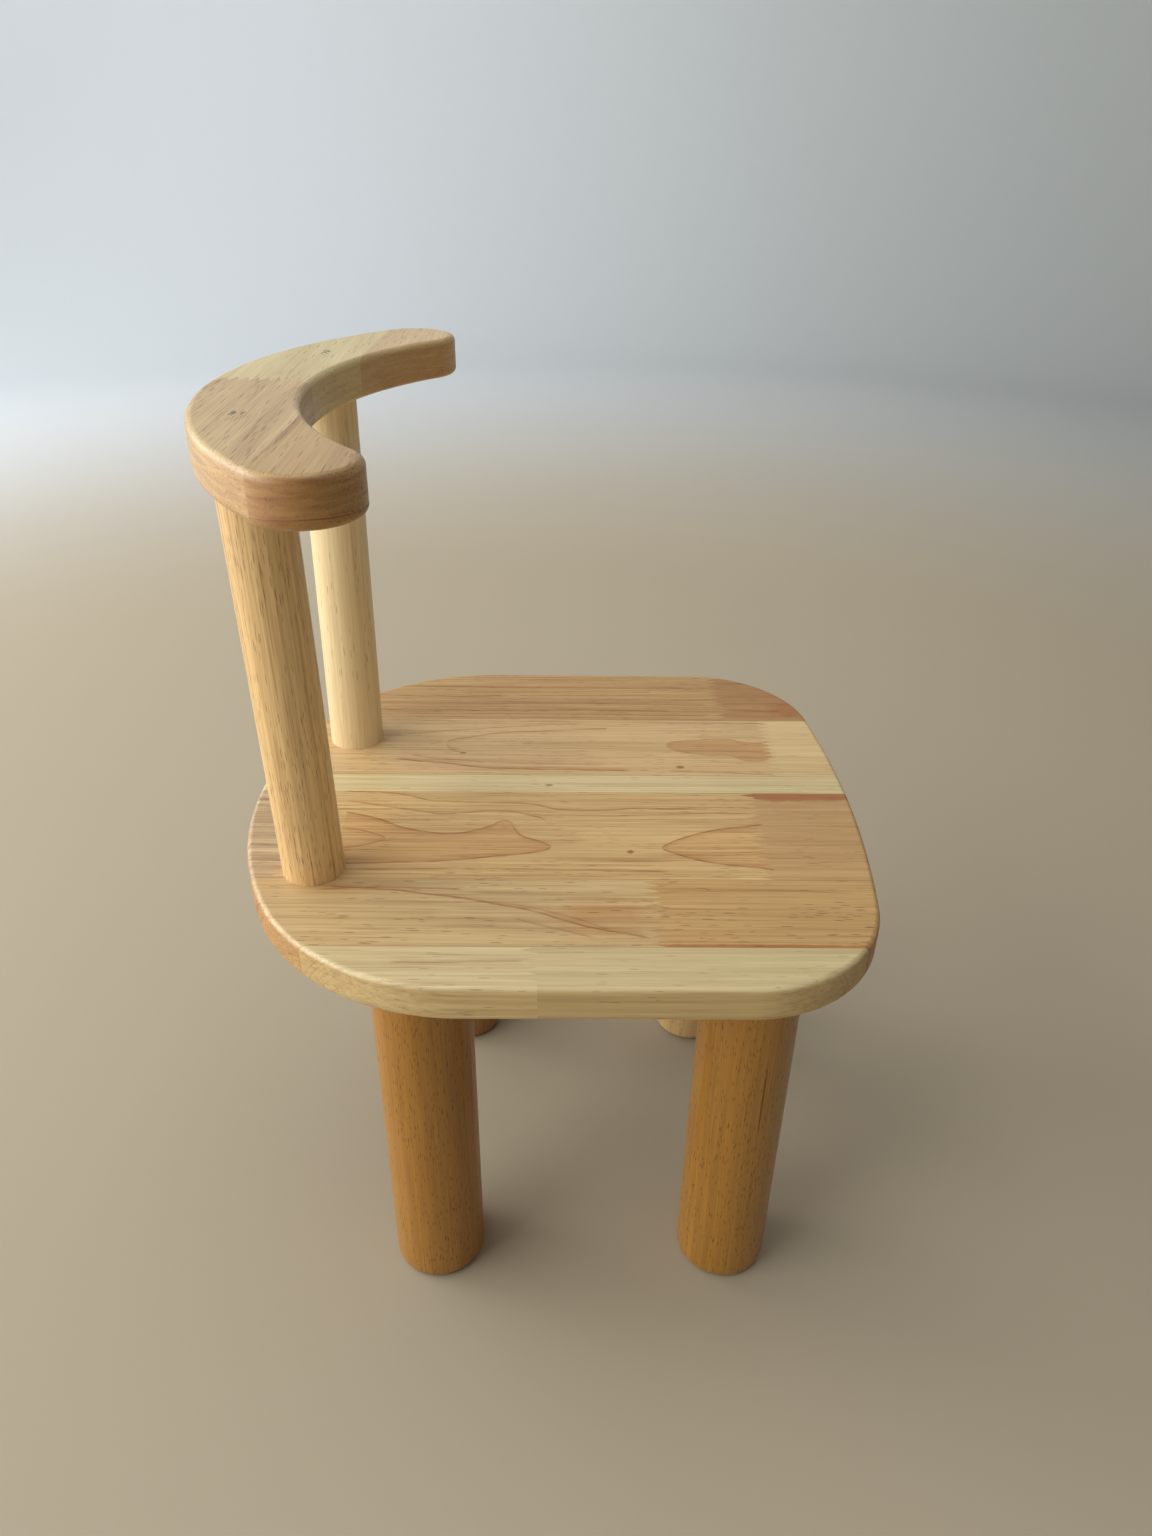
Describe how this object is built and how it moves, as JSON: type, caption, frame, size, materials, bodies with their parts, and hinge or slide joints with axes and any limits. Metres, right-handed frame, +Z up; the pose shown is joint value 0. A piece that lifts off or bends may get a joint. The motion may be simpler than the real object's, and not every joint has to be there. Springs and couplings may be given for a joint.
{
  "type": "toddler chair",
  "caption": "Solid-wood toddler chair: glued-up seat on round legs, with a flat crescent back rail on splayed dowel posts.",
  "frame": {"origin": "on the floor, under the middle of the seat", "axes": "+Z up, a seated child faces -Y, the chair's left side is +X"},
  "size_m": [0.288, 0.308, 0.448],
  "materials": {
    "seat_wood_brown": "satin clear lacquer",
    "seat_wood_tan": "satin clear lacquer",
    "seat_wood_pale": "satin clear lacquer",
    "leg_wood": "satin clear lacquer",
    "post_wood_pale": "satin clear lacquer",
    "post_wood_tan": "satin clear lacquer",
    "rail_wood_pale": "satin clear lacquer",
    "rail_wood_tan": "satin clear lacquer",
    "zinc_steel": "yellowish zinc plating",
    "insert_brass": "turned brass"
  },
  "bodies": {
    "root": {"seat_stave_1_front": "seat_wood_brown", "seat_stave_1_rear": "seat_wood_brown", "seat_stave_2_front": "seat_wood_pale", "seat_stave_2_rear": "seat_wood_tan", "seat_stave_3": "seat_wood_pale", "seat_stave_4_front": "seat_wood_tan", "seat_stave_4_middle": "seat_wood_tan", "seat_stave_4_rear": "seat_wood_brown", "seat_stave_5_front": "seat_wood_tan", "seat_stave_5_rear": "seat_wood_tan", "seat_stave_6_front": "seat_wood_pale", "seat_stave_6_rear": "seat_wood_tan", "leg_front_left": "leg_wood", "leg_front_right": "leg_wood", "leg_rear_left": "leg_wood", "leg_rear_right": "leg_wood", "post_left": "post_wood_pale", "post_right": "post_wood_tan", "rail_back_left": "rail_wood_pale", "rail_back_right": "rail_wood_tan", "rail_tip_left": "rail_wood_pale", "rail_tip_right": "rail_wood_tan", "rail_plug_left": "rail_wood_pale", "rail_plug_right": "rail_wood_tan", "rail_screws": "zinc_steel", "post_screws": "zinc_steel", "leg_hanger_bolts": "zinc_steel", "seat_insert_nuts": "insert_brass"}
  },
  "joints": []
}
